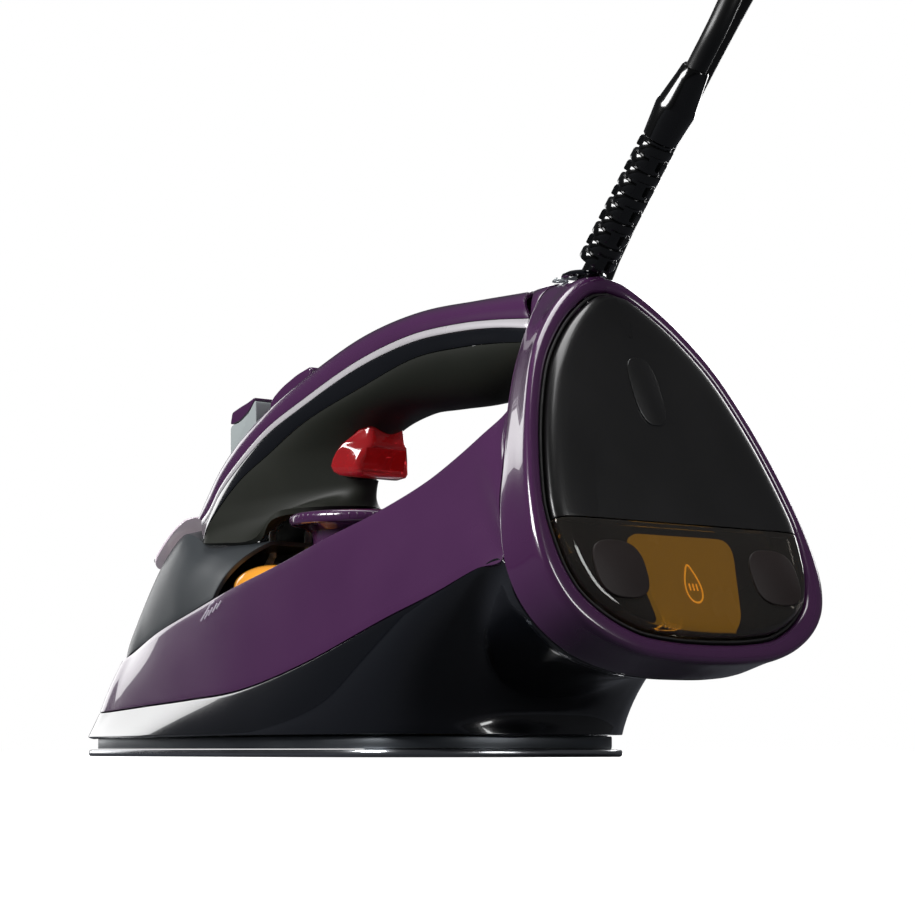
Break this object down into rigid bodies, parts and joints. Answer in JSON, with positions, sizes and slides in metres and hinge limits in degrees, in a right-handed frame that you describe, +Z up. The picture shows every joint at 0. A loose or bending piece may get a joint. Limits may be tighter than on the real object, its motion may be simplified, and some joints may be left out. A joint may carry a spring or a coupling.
{
  "type": "steam iron",
  "caption": "Household steam iron with a pointed soleplate, hooped handle, temperature dial, spray and boost buttons, steam trigger, filling door, scale drawer and mains cord.",
  "frame": {"origin": "on the floor, under the middle of the iron's length and width, measured without the cord, its guard and the plug", "axes": "the nose points along -X, the heel along +X, +Z is up, and Y = 0 is the plane of symmetry of the body"},
  "size_m": [0.3405, 0.2254, 0.2678],
  "materials": {
    "purple_shell": "deep purple high-gloss moulded plastic",
    "black_shell": "navy-black high-gloss moulded plastic",
    "grip": "olive-grey soft-touch grip",
    "trim": "satin silver plastic trim",
    "steel": "polished steel",
    "cast": "cast aluminium, satin",
    "smoked": "smoked clear plastic",
    "charcoal": "charcoal semi-gloss plastic",
    "amber": "clear amber plastic",
    "lilac": "clear lilac plastic",
    "red": "clear red plastic",
    "rubber": "black rubber",
    "pale_grey": "pale grey plastic",
    "nylon": "off-white nylon",
    "brass": "brass",
    "board": "green circuit board"
  },
  "bodies": {
    "housing": {"soleplate": "steel", "heater_body": "cast", "steam_chamber_cover": "cast", "heating_element": "cast", "lower_housing": "black_shell", "side_shell": "purple_shell", "heel_collar": "purple_shell", "tank_roof": "black_shell", "nose_cover": "black_shell", "handle_grip": "grip", "handle_strip_left": "black_shell", "handle_strip_right": "black_shell", "handle_trim_left": "trim", "handle_trim_right": "trim", "handle_top_cover": "purple_shell", "spray_spring": "steel", "boost_spring": "steel", "trigger_spring": "steel", "spray_pump": "nylon", "boost_pump": "nylon", "trigger_pin": "steel", "microswitch": "charcoal", "spindle_sleeve": "nylon", "thermostat": "cast", "thermal_fuse": "nylon", "drip_valve": "brass", "water_tank": "smoked", "door_pin": "steel", "filling_funnel": "nylon", "spray_nozzle": "black_shell", "spray_hose": "nylon", "boost_hose": "nylon", "indicator_lens_left": "amber", "indicator_lens_right": "amber", "heel_gasket": "rubber", "heel_plate": "charcoal", "heel_foot_top": "rubber", "terminal_block": "nylon", "circuit_board": "board", "cord_clamp": "nylon", "cord_guard": "rubber", "cord_socket": "black_shell", "auto_off_light": "lilac", "cord_tube": "rubber", "cord_coil": "rubber", "plug_body": "rubber", "plug_pin_left": "brass", "plug_pin_right": "brass", "housing_screw": "steel"},
    "dial": {"temperature_dial": "purple_shell", "thermostat_spindle": "brass"},
    "spray_knob": {"spray_button": "pale_grey", "spray_button_cap": "purple_shell"},
    "boost_knob": {"steam_boost_button": "purple_shell"},
    "trigger": {"steam_trigger": "red"},
    "door": {"filling_door": "lilac"},
    "drawer": {"drawer_front": "smoked", "drawer_foot_left": "rubber", "drawer_foot_right": "rubber", "scale_collector": "amber"}
  },
  "joints": [
    {"name": "dial_turn", "type": "hinge", "parent": "housing", "child": "dial", "pos_m": [0, 0, 0.08], "axis": [0, 0, 1], "range_deg": [0, 280]},
    {"name": "spray_press", "type": "slide", "parent": "housing", "child": "spray_knob", "axis": [0.5482, 0, -0.8363], "range_m": [0, 0.0025], "stiffness_N_per_m": 900, "deforming": ["spray_spring"]},
    {"name": "boost_press", "type": "slide", "parent": "housing", "child": "boost_knob", "axis": [0.4136, 0, -0.9105], "range_m": [0, 0.002], "stiffness_N_per_m": 900, "deforming": ["boost_spring"]},
    {"name": "trigger_pull", "type": "hinge", "parent": "housing", "child": "trigger", "pos_m": [0.0065, 0, 0.1135], "axis": [0, 1, 0], "range_deg": [0, 6], "stiffness_Nm_per_rad": 0.6, "deforming": ["trigger_spring"]},
    {"name": "fill_door_open", "type": "hinge", "parent": "housing", "child": "door", "pos_m": [-0.11427, 0, 0.07342], "axis": [0, -1, 0], "range_deg": [0, 90]},
    {"name": "drawer_slide", "type": "slide", "parent": "housing", "child": "drawer", "axis": [0.9345, 0, 0.3559], "range_m": [0, 0.028]}
  ]
}
